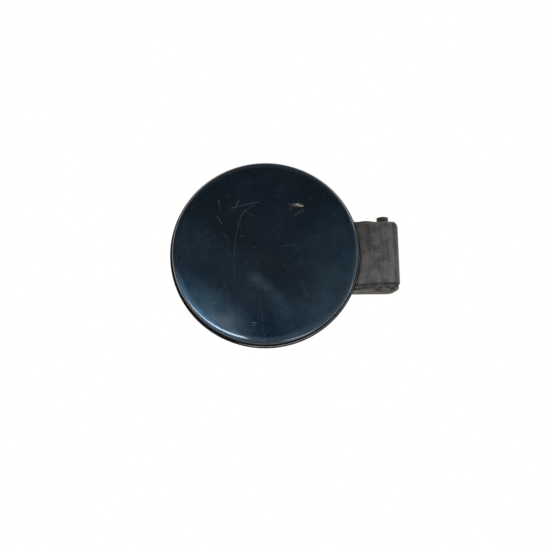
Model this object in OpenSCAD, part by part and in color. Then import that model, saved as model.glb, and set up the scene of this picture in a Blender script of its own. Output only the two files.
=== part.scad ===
// Round car fuel door in millimetres: a painted steel skin hemmed over a plastic carrier,
// hung on a swan-neck hinge arm that turns on a pin.
// The hinge axis is the Z axis, Z points up on the car and the painted face looks along -Y.
// The origin is where the upper free end of the pin leaves the arm.
// Every module draws face up, with x to the hinge side, y along the pin and z out of the face,
// and placed() turns that onto the car.

/* [Lid skin] */
// Diameter over the painted skin
lid_d = 165; // [140:1:190]
// Radius of the crown of the painted face
crown_r = 1200; // [700:10:3000]
// Height of the crown over the hinge axis
crown_z = 27.5; // [25:0.1:32]
// Distance from the rim of the lid to the hinge axis
pin_out = 25.5; // [22:0.5:35]
// Sheet thickness of the skin
skin_t = 0.9; // [0.6:0.1:1.3]
// Outside radius of the rolled rim
roll_r = 3.5; // [2:0.1:4.5]
// Radius of the soft shoulder between the crown and the roll
shoulder_r = 15; // [12:0.5:20]
// Slope in degrees at which the shoulder turns into the roll
shoulder_a = 21; // [14:1:26]
// Depth of the skin from the start of the shoulder to the hemmed edge
skin_h = 7.2; // [6.5:0.1:8.5]
// Width of the hem turned in under the carrier
hem_w = 3.5; // [2.5:0.1:5]

/* [Edge seal] */
// Thickness of the flat band of the seal
seal_t = 2.8; // [2:0.1:3.4]
// Section radius of the outer bead of the seal
bead_r = 1.6; // [1:0.1:1.9]
// How far the bead stands out past the painted skin
bead_out = 2.3; // [1:0.1:2.5]
// Drop of the bead top below the hemmed edge
bead_drop = 0.5; // [0.2:0.1:1]

/* [Carrier] */
// Thickness of the carrier plate
plate_t = 2.2; // [1.6:0.1:2.6]
// Room between the carrier plate and the skin flange
plate_gap = 0.2; // [0.1:0.05:0.5]
// Thickness of the ring wall that holds the seal
wall_t = 2.8; // [2:0.1:4]
// Room between the ring wall and the hem
wall_gap = 0.6; // [0.3:0.1:1]
// Length of the ring wall below the seal
wall_end = 1.5; // [1.2:0.1:2.5]
// Height of the snap bead that keeps the seal on
snap_h = 1; // [0.6:0.1:1.1]
// How far the snap bead stands out
snap_out = 0.8; // [0.4:0.1:1.2]
// Room between the snap bead and the seal
snap_gap = 0.1; // [0.05:0.05:0.2]
// Depth of the screw bosses below the carrier plate
rib_h = 4.2; // [3:0.1:5]
// How much shorter the ribs are than the bosses
rib_short = 0.4; // [0.2:0.1:1]
// Thickness of the ribs
rib_t = 1.8; // [1.2:0.1:2.5]
// Number of radial ribs
rib_n = 16; // [8:2:24]
// Outside radius of the hub ring
hub_r = 24; // [20:0.5:27]
// Share of the lid radius at which the middle ring rib runs
ring_share = 0.62; // [0.55:0.01:0.66]
// Distance from the rim to the bonding ring under the crown
bond_in = 22.5; // [14:0.5:30]
// Width of the bonding ring
bond_w = 4; // [2:0.5:6]
// Radius of the screw bosses
boss_r = 4.4; // [3.6:0.1:5]

/* [Hinge arm] */
// Width of the arm along the pin
arm_w = 58.6; // [54:0.2:66]
// Wall thickness of the arm
arm_t = 3; // [2.2:0.1:3.6]
// Thickness of the two side walls
side_t = 2.5; // [1.8:0.1:3.2]
// Height of the outer face of the arm over the hinge axis
face_z = 11; // [10:0.1:12.5]
// Depth of the arm behind the hinge axis
back_z = 23.5; // [23:0.1:30]
// Distance from the hinge axis to the rounded end
end_x = 13; // [11:0.1:15]
// Radius of the rounded end
end_r = 6.5; // [4:0.1:7.5]
// Depth at which the end starts to slant in
tail_z = 6; // [2:0.1:10]
// How far the slanted end runs in
tail_run = 3.5; // [2:0.1:8]
// Radius of the rounded corner at the back of the end
tail_r = 6; // [3:0.1:7]
// Upper corner radius of the end seen from the front
end_corner_r = 6; // [2:0.1:6.5]
// Lower corner radius of the end seen from the front
end_low_r = 3.5; // [2:0.1:6.5]
// Where the flat face turns into the slope
slope_x = 8; // [4:0.5:12]
// Distance from the hinge axis to the nose of the slope
nose_x = 29; // [27:0.1:31]
// Height of the nose over the hinge axis
nose_z = 4; // [2:0.1:6]
// Width of the notch that clears the body panel
notch_w = 11; // [8:0.1:12.5]
// Depth of the notch below the hinge axis
notch_z = 19; // [16:0.1:20]
// Distance from the hinge axis to the inner end of the foot
foot_x = 78; // [72:0.5:84]
// Corner radius of the foot seen from the front
foot_corner_r = 9; // [4:0.5:14]
// Length of the back edge behind the riser
heel_w = 7; // [4:0.5:12]
// Thickness of the cheek on each side wall
cheek_t = 2; // [1:0.1:3]
// Depth below the hinge axis at which the cheeks start
cheek_z = 3; // [1:0.1:6]
// Distance from the end of the arm to the end of the cheeks
cheek_in = 1.2; // [1:0.1:3]
// Radius of the hollow that the cheeks leave round the pin
cheek_r = 9.5; // [9:0.1:12.5]
// Distance from the nose of the slope to the stop lug
lug_in = 0.5; // [0.3:0.1:3]
// Distance from the hinge axis to the end of the stop lug
lug_x = 8; // [7:0.1:12]
// Height of the outer side of the stop lug over the hinge axis
lug_z = 3.5; // [2:0.1:3.8]
// Thickness of the stop lug
lug_h = 7; // [4:0.1:9]
// How far the stop lug stands out of the side wall
lug_t = 2.2; // [1.2:0.1:3]
// Height of the hump on the stop lug
hump_h = 0.7; // [0.3:0.1:1.2]
// Radius of the hump
hump_r = 28; // [20:1:60]
// Distance from the hinge axis to the top of the hump
hump_x = 15.5; // [14:0.1:18]

/* [Hinge pin] */
// Radius of the hinge pin
pin_r = 5; // [4:0.1:5.5]
// Running clearance between the pin and its bores
pin_gap = 0.05; // [0.02:0.01:0.09]
// Length of the upper free end of the pin
pin_top = 7.1; // [5:0.1:10]
// Length of the lower free end of the pin
pin_low = 2.8; // [2:0.1:5]
// Radius of the upper free end, a head that rests over the arm
pin_head_r = 5.4; // [5.2:0.1:6]
// Radius of the lower free end
pin_low_r = 4.5; // [3.5:0.1:4.8]
// Room between the pin head and the arm
pin_seat = 0.1; // [0.05:0.05:0.3]
// Radius of the rounded upper end
dome_r = 14; // [7:0.5:20]
// Radius of the rounded lower end
low_dome_r = 9; // [6:0.1:14]
// Radius of the knuckles round the pin
knuckle_r = 8.8; // [8:0.1:9.4]
// Distance between the two inner knuckle faces
knuckle_gap = 25; // [24:0.5:30]
// Thickness of the retaining clips
clip_t = 1; // [0.8:0.1:1.5]
// Outside radius of the retaining clips
clip_r = 7.4; // [6.6:0.1:8]
// Depth of the grooves for the clips
groove_d = 1; // [0.6:0.1:1.4]
// Room between a clip and the knuckle beside it
clip_gap = 0.15; // [0.1:0.05:0.3]

/* [Torsion spring] */
// Radius of the spring wire
wire_r = 0.7; // [0.5:0.05:0.75]
// Mean radius of the coil
coil_r = 6.2; // [6:0.1:6.3]
// Whole turns of the coil
coil_n = 6; // [4:1:7]
// Pitch of the coil
pitch = 1.65; // [1.55:0.05:1.8]
// Length of the leg that lifts the arm
leg_l = 17; // [14:0.5:18]
// Depth of the hole in the pin that holds the other leg
leg_in = 1.8; // [1.2:0.1:2.4]
// Length of the pad that the leg presses on
pad_l = 5; // [4:0.5:7]
// Width of the pad
pad_w = 6; // [3:0.5:9]

/* [Latch and fittings] */
// Distance from the rim to the striker tab
tab_in = 16.5; // [14:0.5:20]
// Length of the striker foot
strike_l = 15; // [12:0.5:18]
// Width of the striker foot
strike_w = 26; // [22:0.5:32]
// Sheet thickness of the striker
strike_t = 1.6; // [1.2:0.1:2.5]
// Width of the striker tab
tab_w = 14; // [11:0.5:18]
// Length of the striker tab below the bosses
tab_h = 19; // [16:0.5:24]
// Width of the window in the tab
window_w = 8; // [6:0.5:9]
// Height of the window in the tab
window_h = 6; // [4:0.5:8]
// Distance of the two striker screws from each other
strike_pitch = 17; // [15.5:0.5:20]
// Outside radius of the filler cap cup
cup_r = 16; // [13:0.5:19]
// Wall thickness of the cup
cup_t = 2; // [1.4:0.1:3]
// Depth of the cup
cup_h = 11; // [7:0.5:14]
// Width of the slot in the cup
slot_w = 13; // [8:0.5:16]
// Distance from the rim to the middle of the rubber buffers
buffer_in = 19.5; // [17.5:0.5:24]
// Radius of the buffer heads
buffer_r = 5.2; // [4:0.1:6]
// Height of the buffer heads
buffer_h = 6; // [4:0.1:8]
// Radius of the buffer stems
stem_r = 2.4; // [1.8:0.1:2.8]
// Radius of the domed buffer ends
buffer_dome_r = 8; // [7:0.5:12]

/* [Screws] */
// Radius of the screw shanks
screw_r = 1.7; // [1.3:0.1:2]
// Room round a screw shank in the part it holds down
screw_gap = 0.35; // [0.2:0.05:0.6]
// Radius of the screw heads
head_r = 3.6; // [3:0.1:4]
// Height of the screw heads
head_h = 2.3; // [1.8:0.1:3]
// Radius of the hexagon socket in the heads
socket_r = 1.6; // [1.1:0.1:2]
// Depth of the socket
socket_d = 1.3; // [0.8:0.1:1.6]
// Skin of plastic left above a screw tip
tip_skin = 0.9; // [0.5:0.1:1.4]
// Distance of the inner arm screws from the foot end
screw_in = 8; // [6.5:0.5:10]
// Distance along the arm between the arm screws
screw_run = 19; // [14:0.5:20]
// Distance across the arm between the arm screws
screw_across = 36; // [28:0.5:40]

/* [Hidden] */
// Overrun of the cuts
over = 0.5;
// Step that the height of the hem is rounded to
step = 0.01;
fine = 96;
arc = 720;
lid_r = lid_d / 2;
reach = lid_r + pin_out;
ring_r = lid_r * ring_share;
bond_r = lid_r - bond_in;
tab_r = lid_r - tab_in;
buffer_ring = lid_r - buffer_in;
arm_half = arm_w / 2;
crown_c = crown_z - crown_r;
roll_x = lid_r - roll_r;
shoulder_x = roll_x - (shoulder_r - roll_r) * sin(shoulder_a);
shoulder_z = crown_c + sqrt(pow(crown_r - shoulder_r, 2) - pow(shoulder_x, 2));
roll_z = shoulder_z + (shoulder_r - roll_r) * cos(shoulder_a);
join_x = shoulder_x * crown_r / (crown_r - shoulder_r);
rim_z = crown_c + sqrt(pow(crown_r, 2) - pow(join_x, 2));
hem_z = step * round((rim_z - skin_h) / step);
plate_z = hem_z + skin_t;
hem_r = lid_r - hem_w;
wall_r = hem_r - wall_gap;
wall_z = hem_z - seal_t - wall_end;
seat_z = plate_z - rib_h;
rib_z = seat_z + rib_short;
bead_x = lid_r + bead_out - bead_r;
riser_x = nose_x + notch_w;
riser_back = riser_x + arm_t;
nose_in = nose_x - arm_t;
tail_a = atan2(tail_run, back_z - tail_z);
tail_in = tail_run * (back_z - tail_r - tail_z) / (back_z - tail_z) + tail_r / cos(tail_a);
slope_a = atan2(face_z - nose_z, nose_x - slope_x);
slope_n = slope_x * sin(slope_a) + face_z * cos(slope_a);
slope_in = arm_t * tan(slope_a / 2);
nose_drop = arm_t / cos(slope_a) - arm_t * tan(slope_a);
pad_h = slope_n - arm_t - coil_r - wire_r;
groove_z = knuckle_gap / 2 - clip_gap - clip_t;
coil_z = pitch * (coil_n + (90 + slope_a) / 360) / 2;
strike_x = tab_r - strike_l;
strike_screw_x = strike_x + strike_l / 2;
tip_z = plate_z + plate_t - tip_skin;
rib_step = 360 / rib_n;
buffer_a = 2 * rib_step;
steps = 24;
ring_pts = 8;

// Turns the face-up drawing onto the car, with the foot of the pin head at the origin
module placed() {
    translate([0, 0, -arm_half - pin_seat]) rotate([90, 0, 0]) children();
}

module at_lid() {
    translate([-reach, 0, 0]) children();
}

// Draws a flat x and z outline as a slab from y_from to y_to
module slab(y_from, y_to) {
    translate([0, y_to, 0]) rotate([90, 0, 0]) linear_extrude(height = y_to - y_from) children();
}

// Painted skin: crown, shoulder, roll and flange, each tangent to the next
module skin_outline(inset, low) {
    intersection() {
        translate([0, crown_c]) circle(r = crown_r - inset, $fn = arc);
        translate([0, low]) square([join_x, crown_z - low + over]);
    }
    intersection() {
        translate([shoulder_x, shoulder_z]) circle(r = shoulder_r - inset, $fn = arc / 2);
        translate([shoulder_x, low])
            square([(shoulder_r - inset) * sin(shoulder_a), crown_z - low + over]);
    }
    intersection() {
        translate([roll_x, roll_z]) circle(r = roll_r - inset, $fn = fine);
        translate([roll_x, low]) square([roll_r + over, crown_z - low]);
    }
    translate([0, low]) square([lid_r - inset, roll_z - low]);
}

module lid_skin() {
    color([0.05, 0.16, 0.2]) placed() at_lid() rotate_extrude($fn = arc / 4) difference() {
        skin_outline(0, hem_z);
        skin_outline(skin_t, plate_z);
        translate([0, hem_z - over]) square([hem_r, skin_t + 2 * over]);
    }
}

// Rubber edge seal
module edge_seal() {
    color([0.06, 0.06, 0.06]) placed() at_lid() rotate_extrude($fn = arc / 4) {
        translate([wall_r, hem_z - seal_t]) square([bead_x - wall_r, seal_t]);
        translate([bead_x, hem_z - bead_drop - bead_r]) circle(r = bead_r, $fn = fine);
    }
}

// Plastic carrier
module carrier_profile() {
    translate([0, plate_z]) square([lid_r - skin_t - plate_gap, plate_t]);
    translate([wall_r - wall_t, wall_z]) square([wall_t, plate_z + plate_t / 2 - wall_z]);
    translate([wall_r - wall_t / 2, hem_z - seal_t - snap_gap - snap_h])
        square([wall_t / 2 + snap_out, snap_h]);
    intersection() {
        translate([0, crown_c]) circle(r = crown_r - skin_t, $fn = arc);
        translate([bond_r, plate_z + plate_t / 2]) square([bond_w, crown_z - plate_z]);
    }
    translate([hub_r - rib_t, seat_z]) square([rib_t, rib_h + plate_t / 2]);
    translate([ring_r, rib_z]) square([rib_t, plate_z + plate_t / 2 - rib_z]);
}

module radial_ribs() {
    for (i = [0:rib_n - 1])
        rotate([0, 0, i * rib_step])
            translate([hub_r - rib_t / 2, -rib_t / 2, rib_z])
                cube([wall_r - wall_t / 2 - hub_r + rib_t / 2, rib_t, plate_z + plate_t / 2 - rib_z]);
}

module at_arm_screws() {
    for (x = [0, screw_run], y = [-screw_across / 2, screw_across / 2])
        translate([x + screw_in - foot_x, y, 0]) children();
}

module at_strike_screws() {
    for (y = [-strike_pitch / 2, strike_pitch / 2])
        translate([-strike_screw_x, y, 0]) children();
}

module at_buffers() {
    for (a = [-buffer_a, buffer_a])
        rotate([0, 0, a]) translate([-buffer_ring, 0, 0]) children();
}

module boss(r) {
    translate([0, 0, seat_z]) cylinder(r = r, h = rib_h + plate_t / 2, $fn = fine);
}

module pilot(r) {
    translate([0, 0, seat_z - over]) cylinder(r = r, h = tip_z - seat_z + over, $fn = fine);
}

module inner_carrier() {
    color([0.1, 0.1, 0.1]) placed() difference() {
        union() {
            at_lid() {
                rotate_extrude($fn = arc / 4) carrier_profile();
                radial_ribs();
                at_strike_screws() boss(boss_r);
                at_buffers() boss(boss_r);
                boss(boss_r);
            }
            at_arm_screws() boss(boss_r);
        }
        at_arm_screws() pilot(screw_r);
        at_lid() {
            at_strike_screws() pilot(screw_r);
            at_buffers() pilot(stem_r);
            pilot(screw_r);
        }
    }
}

// Screw with its head below and its seat at height z
module screw(z, tip) {
    difference() {
        union() {
            translate([0, 0, z - head_h]) cylinder(r = head_r, h = head_h, $fn = fine);
            translate([0, 0, z - head_h / 2])
                cylinder(r = screw_r, h = tip - z + head_h / 2, $fn = fine);
        }
        translate([0, 0, z - head_h - over]) cylinder(r = socket_r, h = socket_d + over, $fn = 6);
    }
}

module arm_screws() {
    color([0.6, 0.6, 0.62]) placed() at_arm_screws() screw(seat_z - arm_t, tip_z);
}

// Swan-neck hinge arm
module arm_side(end) {
    polygon([
        [-foot_x, seat_z], [-riser_x, seat_z], [-riser_x, -notch_z], [-nose_x, -notch_z],
        [-nose_x, nose_z], [-slope_x, face_z], [end - end_r, face_z],
        [end - end_r, face_z - end_r], [end, face_z - end_r], [end, -tail_z],
        [end - tail_in + tail_r * cos(tail_a), tail_r - back_z - tail_r * sin(tail_a)],
        [end - tail_in, tail_r - back_z], [end - tail_in, -back_z],
        [-riser_back - heel_w, -back_z], [-foot_x, seat_z - arm_t]
    ]);
    translate([end - end_r, face_z - end_r]) circle(r = end_r, $fn = fine);
    translate([end - tail_in, tail_r - back_z]) circle(r = tail_r, $fn = fine);
}

// Hollow of the arm, open at the back
module arm_hollow() {
    polygon([
        [-foot_x - over, seat_z - arm_t], [-riser_back, seat_z - arm_t],
        [-riser_back, -notch_z - arm_t], [-nose_in, -notch_z - arm_t],
        [-nose_in, nose_z - nose_drop], [-slope_x + slope_in, face_z - arm_t],
        [end_x - end_r, face_z - arm_t], [end_x - end_r, face_z - end_r],
        [end_x - arm_t, face_z - end_r], [end_x - arm_t, -tail_z],
        [end_x + over, -tail_z], [end_x + over, -back_z - over],
        [-foot_x - over, -back_z - over]
    ]);
    translate([end_x - end_r, face_z - end_r]) circle(r = end_r - arm_t, $fn = fine);
}

// What is cut away outside a rounded corner that points to the upper right of the origin
module corner_waste(r) {
    translate([-r, -r]) difference() {
        square([r + over, r + over]);
        circle(r = r, $fn = fine);
    }
}

// Front view of the arm with rounded corners
module arm_plan() {
    difference() {
        translate([-foot_x, -arm_half]) square([foot_x + end_x, arm_w]);
        translate([end_x, arm_half]) corner_waste(end_corner_r);
        mirror([0, 1]) translate([end_x, arm_half]) corner_waste(end_low_r);
        for (s = [0, 1]) mirror([0, s]) mirror([1, 0])
            translate([foot_x, arm_half]) corner_waste(foot_corner_r);
    }
}

module arm_shell() {
    difference() {
        intersection() {
            slab(-arm_half - over, arm_half + over) arm_side(end_x);
            translate([0, 0, -back_z - over])
                linear_extrude(height = back_z + seat_z + 2 * over) arm_plan();
        }
        slab(side_t - arm_half, arm_half - side_t) arm_hollow();
    }
}

// Side view of a cheek: it follows the slope, and on the lower side of the arm (s = 1)
// it also runs up the end as a rim
module cheek_side(s) {
    polygon(concat(
        [[-riser_back, -back_z], [-riser_back, -cheek_z], [-nose_x, -cheek_z]],
        [[-slope_x, face_z - nose_z - cheek_z], [0, 0]],
        s == 0 ? [[0, -cheek_z], [end_x, -cheek_z]] : [[end_x, face_z]],
        [[end_x, -back_z]]
    ));
}

// Raised part of each side wall, hollowed round the pin
module cheeks() {
    for (s = [0, 1]) mirror([0, s, 0]) slab(arm_half - side_t / 2, arm_half + cheek_t) difference() {
        intersection() {
            arm_side(end_x - cheek_in);
            cheek_side(s);
        }
        circle(r = cheek_r, $fn = fine);
    }
}

module knuckles() {
    for (s = [0, 1]) mirror([0, s, 0]) slab(knuckle_gap / 2, arm_half - side_t / 2)
        circle(r = knuckle_r, $fn = fine);
}

// Two long ribs that tie the knuckles to the nose and to the end wall
module arm_ribs() {
    for (s = [0, 1]) mirror([0, s, 0]) slab(knuckle_gap / 2 + clip_t, knuckle_gap / 2 + clip_t + side_t)
        intersection() {
            polygon([
                [-nose_x + arm_t / 2, nose_z - arm_t], [-slope_x, face_z - arm_t / 2],
                [end_x - end_r, face_z - arm_t / 2], [end_x - arm_t / 2, face_z - end_r],
                [end_x - arm_t / 2, -tail_z], [arm_t / 2 - nose_x, -notch_z / 2]
            ]);
            arm_side(end_x);
        }
}

// Stop lug beside the nose of the slope, with a shallow hump
module stop_lug() {
    translate([0, arm_half, lug_z - lug_h]) linear_extrude(height = lug_h) {
        translate([lug_in - nose_x, -side_t / 2])
            square([nose_x - lug_in - lug_x, lug_t + side_t / 2]);
        intersection() {
            translate([-hump_x, lug_t + hump_h - hump_r]) circle(r = hump_r, $fn = arc);
            translate([lug_in - nose_x, 0]) square([nose_x - lug_in - lug_x, lug_t + hump_h]);
        }
    }
}

module spring_pad() {
    slab(coil_z - pad_w / 2, coil_z + pad_w / 2) rotate(slope_a)
        translate([-leg_l, coil_r + wire_r]) square([pad_l, pad_h + arm_t / 2]);
}

module hinge_arm() {
    color([0.2, 0.19, 0.18]) placed() difference() {
        union() {
            arm_shell();
            cheeks();
            knuckles();
            arm_ribs();
            stop_lug();
            spring_pad();
        }
        slab(-arm_w, arm_w) circle(r = pin_r + pin_gap, $fn = fine);
        translate([0, 0, seat_z - 2 * arm_t]) at_arm_screws()
            cylinder(r = screw_r + screw_gap, h = 3 * arm_t, $fn = fine);
    }
}

// Half section of the pin: a rounded head, the journal with two clip grooves, a rounded lower end
module pin_profile() {
    intersection() {
        translate([0, arm_half + pin_seat]) square([pin_head_r, pin_top]);
        translate([0, arm_half + pin_seat + pin_top - dome_r]) circle(r = dome_r, $fn = fine);
    }
    intersection() {
        translate([0, -arm_half - pin_low]) square([pin_low_r, pin_low + pin_seat]);
        translate([0, low_dome_r - arm_half - pin_low]) circle(r = low_dome_r, $fn = fine);
    }
    difference() {
        translate([0, pin_seat - arm_half]) square([pin_r, arm_w]);
        for (s = [-groove_z - clip_t - clip_gap / 2, groove_z - clip_gap / 2])
            translate([pin_r - groove_d, s]) square([groove_d + over, clip_t + clip_gap]);
    }
}

module hinge_pin() {
    color([0.35, 0.33, 0.3]) placed() difference() {
        rotate([-90, 0, 0]) rotate_extrude($fn = fine) pin_profile();
        translate([pin_r - leg_in, -coil_z, 0]) rotate([0, 90, 0])
            cylinder(r = wire_r + pin_gap, h = leg_in + over, $fn = fine);
    }
}

module pin_clips() {
    color([0.5, 0.5, 0.52]) placed() for (s = [0, 1]) mirror([0, s, 0])
        slab(groove_z, groove_z + clip_t) difference() {
            circle(r = clip_r, $fn = fine);
            circle(r = pin_r - groove_d, $fn = fine);
            translate([groove_d - pin_r, -clip_r - over])
                square([2 * (pin_r - groove_d), clip_r + over]);
        }
}

// Wire path of the spring: the leg in the pin, the coil, then the straight leg
coil_turn = 360 * coil_n + 90 + slope_a;
coil_steps = steps * coil_n;
spring_path = concat(
    [[pin_r - leg_in, -coil_z, 0]],
    [for (i = [0:coil_steps]) let (a = coil_turn * i / coil_steps)
        [coil_r * cos(a), -coil_z + 2 * coil_z * i / coil_steps, coil_r * sin(a)]],
    [[-coil_r * sin(slope_a) - leg_l * cos(slope_a), coil_z,
        coil_r * cos(slope_a) - leg_l * sin(slope_a)]]
);
spring_side = concat(
    [[0, 0, 1]],
    [[-1, 0, 1]],
    [for (i = [1:coil_steps]) let (a = coil_turn * i / coil_steps) [-cos(a), 0, -sin(a)]],
    [[sin(slope_a), 0, -cos(slope_a)]]
);

module torsion_spring() {
    n = len(spring_path);
    m = ring_pts;
    color([0.55, 0.55, 0.57]) placed() polyhedron(
        points = [for (i = [0:n - 1], k = [0:m - 1])
            spring_path[i] + wire_r * cos(360 * k / m) * spring_side[i]
            + [0, wire_r * sin(360 * k / m), 0]],
        faces = concat(
            [[for (k = [0:m - 1]) k]],
            [for (i = [0:n - 2], k = [0:m - 1])
                [i * m + k, (i + 1) * m + k, (i + 1) * m + (k + 1) % m]],
            [for (i = [0:n - 2], k = [0:m - 1])
                [i * m + k, (i + 1) * m + (k + 1) % m, i * m + (k + 1) % m]],
            [[for (k = [m - 1:-1:0]) (n - 1) * m + k]]
        ),
        convexity = 10
    );
}

// Steel striker: a screwed foot with a tab that the latch bolt enters
module latch_striker() {
    color([0.6, 0.6, 0.62]) placed() at_lid() difference() {
        union() {
            translate([-tab_r, -strike_w / 2, seat_z - strike_t])
                cube([strike_l, strike_w, strike_t]);
            translate([-tab_r, -tab_w / 2, seat_z - strike_t / 2 - tab_h])
                cube([strike_t, tab_w, tab_h]);
        }
        translate([-tab_r - over, -window_w / 2, seat_z - tab_h + strike_t])
            cube([strike_t + 2 * over, window_w, window_h]);
        at_strike_screws() translate([0, 0, seat_z - 2 * strike_t])
            cylinder(r = screw_r + screw_gap, h = 3 * strike_t, $fn = fine);
    }
}

module striker_screws() {
    color([0.6, 0.6, 0.62]) placed() at_lid() at_strike_screws() screw(seat_z - strike_t, tip_z);
}

// Cup that holds the filler cap while the door is open
module cap_holder() {
    color([0.12, 0.12, 0.12]) placed() at_lid() difference() {
        translate([0, 0, seat_z - cup_h]) cylinder(r = cup_r, h = cup_h, $fn = fine);
        translate([0, 0, seat_z - cup_h - over])
            cylinder(r = cup_r - cup_t, h = cup_h - cup_t + over, $fn = fine);
        translate([-slot_w / 2, 0, seat_z - cup_h - over])
            cube([slot_w, cup_r + over, cup_h - cup_t + over]);
        translate([0, 0, seat_z - 2 * cup_t])
            cylinder(r = screw_r + screw_gap, h = 3 * cup_t, $fn = fine);
    }
}

module cap_screw() {
    color([0.6, 0.6, 0.62]) placed() at_lid() screw(seat_z - cup_t, tip_z);
}

// Two rubber buffers
module buffers() {
    color([0.05, 0.05, 0.05]) placed() at_lid() at_buffers() rotate_extrude($fn = fine) {
        translate([0, seat_z - over]) square([stem_r, tip_z - seat_z + over]);
        intersection() {
            translate([0, seat_z - buffer_h]) square([buffer_r, buffer_h]);
            translate([0, seat_z - buffer_h + buffer_dome_r]) circle(r = buffer_dome_r, $fn = fine);
        }
    }
}

lid_skin();
edge_seal();
inner_carrier();
hinge_arm();
arm_screws();
hinge_pin();
pin_clips();
torsion_spring();
latch_striker();
striker_screws();
cap_holder();
cap_screw();
buffers();
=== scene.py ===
# %% [markdown]
# # A car fuel door in Blender
# The part is a round painted lid on a plastic hinge arm, as it lies in a workshop after years on a car.
# The CAD frame gives every solid its size and place. This file gives the pieces their finish, and draws
# again, more finely, the ones that the eye looks at: the painted skin, the seal, the arm and the spring.
# Shapes are worked out in millimetres, as a maker measures them, and MM turns them into metres.

import math

import bpy
import bmesh
import numpy as np
from mathutils import Matrix, Vector


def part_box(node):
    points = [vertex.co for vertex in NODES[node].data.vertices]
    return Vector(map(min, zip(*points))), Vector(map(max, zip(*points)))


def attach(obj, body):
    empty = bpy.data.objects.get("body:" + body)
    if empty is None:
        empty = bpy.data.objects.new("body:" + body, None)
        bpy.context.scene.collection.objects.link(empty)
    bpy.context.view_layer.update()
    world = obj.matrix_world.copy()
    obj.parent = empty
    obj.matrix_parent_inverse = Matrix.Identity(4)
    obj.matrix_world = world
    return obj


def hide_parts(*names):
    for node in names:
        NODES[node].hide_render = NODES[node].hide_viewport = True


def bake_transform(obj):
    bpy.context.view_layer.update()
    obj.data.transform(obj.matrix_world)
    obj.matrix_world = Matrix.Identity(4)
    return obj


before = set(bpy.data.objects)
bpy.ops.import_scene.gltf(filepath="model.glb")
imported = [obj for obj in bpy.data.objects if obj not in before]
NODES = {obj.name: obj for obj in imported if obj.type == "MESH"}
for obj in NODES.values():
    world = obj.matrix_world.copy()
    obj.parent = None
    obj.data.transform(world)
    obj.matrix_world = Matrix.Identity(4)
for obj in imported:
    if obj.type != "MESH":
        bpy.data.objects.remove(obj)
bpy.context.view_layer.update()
MM = 0.001

# %% [markdown]
# ## Where the lid is
# The lid is a body of revolution whose axis points at the viewer, along -Y. Its middle is read from the
# CAD box, so every piece below is drawn round that point. The heights are counted outwards, along -Y.

# %% Middle of the lid
skin_low, skin_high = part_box("lid_skin")
LID_MID = np.array([(skin_low.x + skin_high.x) / 2, 0.0, (skin_low.z + skin_high.z) / 2])
LID_R = (skin_high.x - skin_low.x) / 2 / MM
CROWN_TOP = -skin_low.y / MM
HEM = -skin_high.y / MM
print("lid radius", round(LID_R, 2), "mm, crown", round(CROWN_TOP, 2), "mm, hem", round(HEM, 2), "mm")

# %% [markdown]
# ## Meshes from arrays
# A mesh needs the places of its corners and the corners of each face. Both are worked out at once as
# arrays, and from_pydata puts them in. A closed piece then has its doubles merged, which closes its
# poles, and its faces turned outwards, so that light falls on the right side of them.


# %% Mesh helpers
MERGE_DISTANCE = 1e-7


def mesh_object(name, points, faces, smooth=True):
    """Makes an object from an array of points in metres and a list of faces, at the origin."""
    mesh = bpy.data.meshes.new(name)
    mesh.from_pydata(points.tolist(), [], faces)
    mesh.validate()
    mesh.polygons.foreach_set("use_smooth", np.full(len(mesh.polygons), smooth))
    mesh.update()
    obj = bpy.data.objects.new(name, mesh)
    bpy.context.scene.collection.objects.link(obj)
    return obj


def grid_faces(rows, columns, wrap_rows, wrap_columns):
    """Faces of a grid of points stored row by row; a wrapped way joins its last line to its first."""
    r = np.arange(rows if wrap_rows else rows - 1)
    c = np.arange(columns if wrap_columns else columns - 1)
    i, j = np.meshgrid(r, c, indexing="ij")
    a = i * columns + j
    b = i * columns + (j + 1) % columns
    d = ((i + 1) % rows) * columns + j
    e = ((i + 1) % rows) * columns + (j + 1) % columns
    return np.stack([a, b, e, d], -1).reshape(-1, 4).tolist()


def outward(obj):
    """Merges doubles and turns every face of a closed piece outwards."""
    bm = bmesh.new()
    bm.from_mesh(obj.data)
    bmesh.ops.remove_doubles(bm, verts=bm.verts, dist=MERGE_DISTANCE)
    bmesh.ops.recalc_face_normals(bm, faces=bm.faces)
    bm.to_mesh(obj.data)
    bm.free()
    obj.data.update()
    return obj


# %% [markdown]
# ## Turned pieces
# The skin and the seal are round, so each is one closed outline carried round the lid's axis, as a
# lathe would cut it. The outline is made of straight lines and arcs, in radius and height. A grid of
# points costs little and keeps the highlight on the rim free of corners.


# %% Turned shapes
def arc_points(centre, radius, start, end, count):
    """Points on a circle round centre: centre + radius * (cos angle, sin angle), angles in degrees."""
    a = np.radians(np.linspace(start, end, count))
    return np.stack([centre[0] + radius * np.cos(a), centre[1] + radius * np.sin(a)], 1)


def turned(name, outline_mm, count):
    """Carries a closed outline (radius, height) round the lid's axis: x = middle + radius * cos angle,
    y = minus height, z = middle + radius * sin angle."""
    a = np.linspace(0, 2 * np.pi, count, endpoint=False)
    radius, height = outline_mm[:, 0][:, None] * MM, outline_mm[:, 1][:, None] * MM
    x = LID_MID[0] + radius * np.cos(a)
    z = LID_MID[2] + radius * np.sin(a)
    y = -height + 0 * a
    points = np.stack([x, y, z], -1).reshape(-1, 3)
    return outward(mesh_object(name, points, grid_faces(len(outline_mm), count, True, True)))


# %% [markdown]
# ## Sizes of the painted skin
# The real skin is one steel sheet, pressed to a slight dome, rolled over at the rim and hemmed round the
# carrier. The dome is a circle of 1200 mm, the shoulder one of 15 mm and the roll one of 3.5 mm. Each
# touches the next without a kink, so that a highlight runs smoothly over them, and their centres follow
# from that.

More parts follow.
